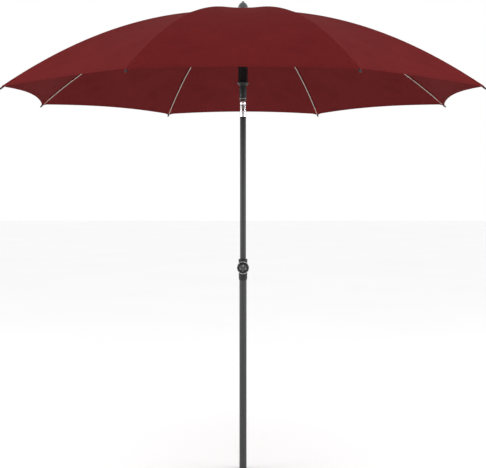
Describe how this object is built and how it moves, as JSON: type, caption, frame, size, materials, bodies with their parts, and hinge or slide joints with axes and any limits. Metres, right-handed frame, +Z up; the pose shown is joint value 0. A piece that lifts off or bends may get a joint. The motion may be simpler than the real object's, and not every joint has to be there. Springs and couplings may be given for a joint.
{
  "type": "patio parasol",
  "caption": "Push-up patio parasol: octagonal cloth canopy on bent steel ribs and stretchers, runner, tilt knuckle, and a two-part telescoping pole with a knob clamp.",
  "frame": {"origin": "centre of the pole's foot, on the floor of the socket that holds it", "axes": "+Z up along the pole, -Y towards the clamp knob and the middle of one panel, +X to the right of someone facing the knob"},
  "size_m": [1.8694, 1.8694, 1.9653],
  "materials": {
    "canopy_cloth": "woven polyester, matt",
    "pole_paint": "anthracite powder coat, fine texture",
    "black_plastic": "moulded black plastic, satin",
    "knuckle_chrome": "bright chrome plate",
    "dark_steel": "blackened steel",
    "zinc_steel": "zinc-plated steel wire",
    "silver_plastic": "silver-painted plastic",
    "finial_lacquer": "gun-metal lacquered plastic, glossy"
  },
  "bodies": {
    "lower_pole": {"lower_pole": "pole_paint", "foot_cap": "black_plastic", "clamp_collar": "black_plastic", "clamp_nut": "zinc_steel"},
    "clamp_pad": {"clamp_pad": "zinc_steel"},
    "clamp_knob": {"clamp_knob": "black_plastic", "clamp_screw": "zinc_steel", "knob_bezel": "silver_plastic", "knob_cap": "black_plastic"},
    "guide_bush": {"guide_bush": "black_plastic"},
    "upper_pole": {"upper_pole": "pole_paint", "pole_top_ring": "black_plastic", "knuckle_fork": "knuckle_chrome", "knuckle_pin": "dark_steel"},
    "tilt_button": {"tilt_button": "dark_steel"},
    "stick": {"canopy_stick": "pole_paint", "knuckle_tongue": "knuckle_chrome", "crown": "black_plastic", "apex_patch": "canopy_cloth", "finial": "finial_lacquer"},
    "runner": {"runner": "black_plastic"},
    "runner_catch": {"runner_catch": "zinc_steel"},
    "rib_1": {"rib_1": "zinc_steel"},
    "stretcher_1": {"stretcher_1": "dark_steel"},
    "gore_1_left": {"gore_1_left": "canopy_cloth"},
    "gore_1_right": {"gore_1_right": "canopy_cloth"},
    "rib_2": {"rib_2": "zinc_steel"},
    "stretcher_2": {"stretcher_2": "dark_steel"},
    "gore_2_left": {"gore_2_left": "canopy_cloth"},
    "gore_2_right": {"gore_2_right": "canopy_cloth"},
    "rib_3": {"rib_3": "zinc_steel"},
    "stretcher_3": {"stretcher_3": "dark_steel"},
    "gore_3_left": {"gore_3_left": "canopy_cloth"},
    "gore_3_right": {"gore_3_right": "canopy_cloth"},
    "rib_4": {"rib_4": "zinc_steel"},
    "stretcher_4": {"stretcher_4": "dark_steel"},
    "gore_4_left": {"gore_4_left": "canopy_cloth"},
    "gore_4_right": {"gore_4_right": "canopy_cloth"},
    "rib_5": {"rib_5": "zinc_steel"},
    "stretcher_5": {"stretcher_5": "dark_steel"},
    "gore_5_left": {"gore_5_left": "canopy_cloth"},
    "gore_5_right": {"gore_5_right": "canopy_cloth"},
    "rib_6": {"rib_6": "zinc_steel"},
    "stretcher_6": {"stretcher_6": "dark_steel"},
    "gore_6_left": {"gore_6_left": "canopy_cloth"},
    "gore_6_right": {"gore_6_right": "canopy_cloth"},
    "rib_7": {"rib_7": "zinc_steel"},
    "stretcher_7": {"stretcher_7": "dark_steel"},
    "gore_7_left": {"gore_7_left": "canopy_cloth"},
    "gore_7_right": {"gore_7_right": "canopy_cloth"},
    "rib_8": {"rib_8": "zinc_steel"},
    "stretcher_8": {"stretcher_8": "dark_steel"},
    "gore_8_left": {"gore_8_left": "canopy_cloth"},
    "gore_8_right": {"gore_8_right": "canopy_cloth"}
  },
  "joints": [
    {"name": "clamp_pad_shift", "type": "slide", "parent": "lower_pole", "child": "clamp_pad", "axis": [0, -1, 0], "range_m": [0, 0.00125]},
    {"name": "clamp_knob_turn", "type": "hinge", "parent": "clamp_pad", "child": "clamp_knob", "pos_m": [0, 0, 0.846], "axis": [0, -1, 0], "range_deg": [0, 361]},
    {"name": "pole_height", "type": "slide", "parent": "lower_pole", "child": "guide_bush", "axis": [0, 0, 1], "range_m": [0, 0.35]},
    {"name": "pole_turn", "type": "hinge", "parent": "guide_bush", "child": "upper_pole", "pos_m": [0, 0, 0.42], "axis": [0, 0, 1], "range_deg": [-180, 180]},
    {"name": "tilt_button_press", "type": "slide", "parent": "upper_pole", "child": "tilt_button", "axis": [-1, 0, 0], "range_m": [0, 0.0022], "stiffness_N_per_m": 900},
    {"name": "canopy_tilt", "type": "hinge", "parent": "upper_pole", "child": "stick", "pos_m": [0, 0, 1.516], "axis": [1, 0, 0], "range_deg": [0, 40]},
    {"name": "runner_slide", "type": "slide", "parent": "stick", "child": "runner", "axis": [0, 0, 1], "range_m": [-0.60869, 0], "deforming": ["gore_1_left", "gore_1_right", "gore_2_left", "gore_2_right", "gore_3_left", "gore_3_right", "gore_4_left", "gore_4_right", "gore_5_left", "gore_5_right", "gore_6_left", "gore_6_right", "gore_7_left", "gore_7_right", "gore_8_left", "gore_8_right", "runner_catch"]},
    {"name": "catch_press", "type": "slide", "parent": "stick", "child": "runner_catch", "axis": [0, -1, 0], "range_m": [0, 0.004], "stiffness_N_per_m": 700},
    {"name": "rib_1_fold", "type": "hinge", "parent": "stick", "child": "rib_1", "pos_m": [0.01848, 0.00765, 1.909], "axis": [-0.3827, 0.9239, 0], "range_deg": [0, 66.05]},
    {"name": "stretcher_1_fold", "type": "hinge", "parent": "runner", "child": "stretcher_1", "pos_m": [0.0231, 0.00957, 1.726], "axis": [0.3827, -0.9239, 0], "range_deg": [0, 59.23]},
    {"name": "gore_1_left_gather", "type": "hinge", "parent": "rib_1", "child": "gore_1_left", "pos_m": [0.01696, 0.01133, 1.909], "axis": [-0.7013, -0.4686, -0.5372], "range_deg": [0, 24.45]},
    {"name": "gore_1_right_gather", "type": "hinge", "parent": "rib_1", "child": "gore_1_right", "pos_m": [0.02, 0.00398, 1.909], "axis": [0.8272, 0.1645, 0.5372], "range_deg": [0, 24.45]},
    {"name": "rib_2_fold", "type": "hinge", "parent": "stick", "child": "rib_2", "pos_m": [0.00765, 0.01848, 1.909], "axis": [-0.9239, 0.3827, 0], "range_deg": [0, 66.05]},
    {"name": "stretcher_2_fold", "type": "hinge", "parent": "runner", "child": "stretcher_2", "pos_m": [0.00957, 0.0231, 1.726], "axis": [0.9239, -0.3827, 0], "range_deg": [0, 59.23]},
    {"name": "gore_2_left_gather", "type": "hinge", "parent": "rib_2", "child": "gore_2_left", "pos_m": [0.00398, 0.02, 1.909], "axis": [-0.1645, -0.8272, -0.5372], "range_deg": [0, 24.45]},
    {"name": "gore_2_right_gather", "type": "hinge", "parent": "rib_2", "child": "gore_2_right", "pos_m": [0.01133, 0.01696, 1.909], "axis": [0.4686, 0.7013, 0.5372], "range_deg": [0, 24.45]},
    {"name": "rib_3_fold", "type": "hinge", "parent": "stick", "child": "rib_3", "pos_m": [-0.00765, 0.01848, 1.909], "axis": [-0.9239, -0.3827, 0], "range_deg": [0, 66.05]},
    {"name": "stretcher_3_fold", "type": "hinge", "parent": "runner", "child": "stretcher_3", "pos_m": [-0.00957, 0.0231, 1.726], "axis": [0.9239, 0.3827, 0], "range_deg": [0, 59.23]},
    {"name": "gore_3_left_gather", "type": "hinge", "parent": "rib_3", "child": "gore_3_left", "pos_m": [-0.01133, 0.01696, 1.909], "axis": [0.4686, -0.7013, -0.5372], "range_deg": [0, 24.45]},
    {"name": "gore_3_right_gather", "type": "hinge", "parent": "rib_3", "child": "gore_3_right", "pos_m": [-0.00398, 0.02, 1.909], "axis": [-0.1645, 0.8272, 0.5372], "range_deg": [0, 24.45]},
    {"name": "rib_4_fold", "type": "hinge", "parent": "stick", "child": "rib_4", "pos_m": [-0.01848, 0.00765, 1.909], "axis": [-0.3827, -0.9239, 0], "range_deg": [0, 66.05]},
    {"name": "stretcher_4_fold", "type": "hinge", "parent": "runner", "child": "stretcher_4", "pos_m": [-0.0231, 0.00957, 1.726], "axis": [0.3827, 0.9239, 0], "range_deg": [0, 59.23]},
    {"name": "gore_4_left_gather", "type": "hinge", "parent": "rib_4", "child": "gore_4_left", "pos_m": [-0.02, 0.00398, 1.909], "axis": [0.8272, -0.1645, -0.5372], "range_deg": [0, 24.45]},
    {"name": "gore_4_right_gather", "type": "hinge", "parent": "rib_4", "child": "gore_4_right", "pos_m": [-0.01696, 0.01133, 1.909], "axis": [-0.7013, 0.4686, 0.5372], "range_deg": [0, 24.45]},
    {"name": "rib_5_fold", "type": "hinge", "parent": "stick", "child": "rib_5", "pos_m": [-0.01848, -0.00765, 1.909], "axis": [0.3827, -0.9239, 0], "range_deg": [0, 66.05]},
    {"name": "stretcher_5_fold", "type": "hinge", "parent": "runner", "child": "stretcher_5", "pos_m": [-0.0231, -0.00957, 1.726], "axis": [-0.3827, 0.9239, 0], "range_deg": [0, 59.23]},
    {"name": "gore_5_left_gather", "type": "hinge", "parent": "rib_5", "child": "gore_5_left", "pos_m": [-0.01696, -0.01133, 1.909], "axis": [0.7013, 0.4686, -0.5372], "range_deg": [0, 24.45]},
    {"name": "gore_5_right_gather", "type": "hinge", "parent": "rib_5", "child": "gore_5_right", "pos_m": [-0.02, -0.00398, 1.909], "axis": [-0.8272, -0.1645, 0.5372], "range_deg": [0, 24.45]},
    {"name": "rib_6_fold", "type": "hinge", "parent": "stick", "child": "rib_6", "pos_m": [-0.00765, -0.01848, 1.909], "axis": [0.9239, -0.3827, 0], "range_deg": [0, 66.05]},
    {"name": "stretcher_6_fold", "type": "hinge", "parent": "runner", "child": "stretcher_6", "pos_m": [-0.00957, -0.0231, 1.726], "axis": [-0.9239, 0.3827, 0], "range_deg": [0, 59.23]},
    {"name": "gore_6_left_gather", "type": "hinge", "parent": "rib_6", "child": "gore_6_left", "pos_m": [-0.00398, -0.02, 1.909], "axis": [0.1645, 0.8272, -0.5372], "range_deg": [0, 24.45]},
    {"name": "gore_6_right_gather", "type": "hinge", "parent": "rib_6", "child": "gore_6_right", "pos_m": [-0.01133, -0.01696, 1.909], "axis": [-0.4686, -0.7013, 0.5372], "range_deg": [0, 24.45]},
    {"name": "rib_7_fold", "type": "hinge", "parent": "stick", "child": "rib_7", "pos_m": [0.00765, -0.01848, 1.909], "axis": [0.9239, 0.3827, 0], "range_deg": [0, 66.05]},
    {"name": "stretcher_7_fold", "type": "hinge", "parent": "runner", "child": "stretcher_7", "pos_m": [0.00957, -0.0231, 1.726], "axis": [-0.9239, -0.3827, 0], "range_deg": [0, 59.23]},
    {"name": "gore_7_left_gather", "type": "hinge", "parent": "rib_7", "child": "gore_7_left", "pos_m": [0.01133, -0.01696, 1.909], "axis": [-0.4686, 0.7013, -0.5372], "range_deg": [0, 24.45]},
    {"name": "gore_7_right_gather", "type": "hinge", "parent": "rib_7", "child": "gore_7_right", "pos_m": [0.00398, -0.02, 1.909], "axis": [0.1645, -0.8272, 0.5372], "range_deg": [0, 24.45]},
    {"name": "rib_8_fold", "type": "hinge", "parent": "stick", "child": "rib_8", "pos_m": [0.01848, -0.00765, 1.909], "axis": [0.3827, 0.9239, 0], "range_deg": [0, 66.05]},
    {"name": "stretcher_8_fold", "type": "hinge", "parent": "runner", "child": "stretcher_8", "pos_m": [0.0231, -0.00957, 1.726], "axis": [-0.3827, -0.9239, 0], "range_deg": [0, 59.23]},
    {"name": "gore_8_left_gather", "type": "hinge", "parent": "rib_8", "child": "gore_8_left", "pos_m": [0.02, -0.00398, 1.909], "axis": [-0.8272, 0.1645, -0.5372], "range_deg": [0, 24.45]},
    {"name": "gore_8_right_gather", "type": "hinge", "parent": "rib_8", "child": "gore_8_right", "pos_m": [0.01696, -0.01133, 1.909], "axis": [0.7013, -0.4686, 0.5372], "range_deg": [0, 24.45]}
  ],
  "couplings": [
    {"joint": "clamp_knob_turn", "follows": "clamp_pad_shift", "rad_per_m": 5026.5},
    {"joint": "rib_1_fold", "follows": "runner_slide", "rad_per_m": -1.8925},
    {"joint": "stretcher_1_fold", "follows": "runner_slide", "rad_per_m": -1.6969},
    {"joint": "gore_1_left_gather", "follows": "runner_slide", "rad_per_m": -0.69957},
    {"joint": "gore_1_right_gather", "follows": "runner_slide", "rad_per_m": -0.69957},
    {"joint": "rib_2_fold", "follows": "runner_slide", "rad_per_m": -1.8925},
    {"joint": "stretcher_2_fold", "follows": "runner_slide", "rad_per_m": -1.6969},
    {"joint": "gore_2_left_gather", "follows": "runner_slide", "rad_per_m": -0.69957},
    {"joint": "gore_2_right_gather", "follows": "runner_slide", "rad_per_m": -0.69957},
    {"joint": "rib_3_fold", "follows": "runner_slide", "rad_per_m": -1.8925},
    {"joint": "stretcher_3_fold", "follows": "runner_slide", "rad_per_m": -1.6969},
    {"joint": "gore_3_left_gather", "follows": "runner_slide", "rad_per_m": -0.69957},
    {"joint": "gore_3_right_gather", "follows": "runner_slide", "rad_per_m": -0.69957},
    {"joint": "rib_4_fold", "follows": "runner_slide", "rad_per_m": -1.8925},
    {"joint": "stretcher_4_fold", "follows": "runner_slide", "rad_per_m": -1.6969},
    {"joint": "gore_4_left_gather", "follows": "runner_slide", "rad_per_m": -0.69957},
    {"joint": "gore_4_right_gather", "follows": "runner_slide", "rad_per_m": -0.69957},
    {"joint": "rib_5_fold", "follows": "runner_slide", "rad_per_m": -1.8925},
    {"joint": "stretcher_5_fold", "follows": "runner_slide", "rad_per_m": -1.6969},
    {"joint": "gore_5_left_gather", "follows": "runner_slide", "rad_per_m": -0.69957},
    {"joint": "gore_5_right_gather", "follows": "runner_slide", "rad_per_m": -0.69957},
    {"joint": "rib_6_fold", "follows": "runner_slide", "rad_per_m": -1.8925},
    {"joint": "stretcher_6_fold", "follows": "runner_slide", "rad_per_m": -1.6969},
    {"joint": "gore_6_left_gather", "follows": "runner_slide", "rad_per_m": -0.69957},
    {"joint": "gore_6_right_gather", "follows": "runner_slide", "rad_per_m": -0.69957},
    {"joint": "rib_7_fold", "follows": "runner_slide", "rad_per_m": -1.8925},
    {"joint": "stretcher_7_fold", "follows": "runner_slide", "rad_per_m": -1.6969},
    {"joint": "gore_7_left_gather", "follows": "runner_slide", "rad_per_m": -0.69957},
    {"joint": "gore_7_right_gather", "follows": "runner_slide", "rad_per_m": -0.69957},
    {"joint": "rib_8_fold", "follows": "runner_slide", "rad_per_m": -1.8925},
    {"joint": "stretcher_8_fold", "follows": "runner_slide", "rad_per_m": -1.6969},
    {"joint": "gore_8_left_gather", "follows": "runner_slide", "rad_per_m": -0.69957},
    {"joint": "gore_8_right_gather", "follows": "runner_slide", "rad_per_m": -0.69957}
  ]
}
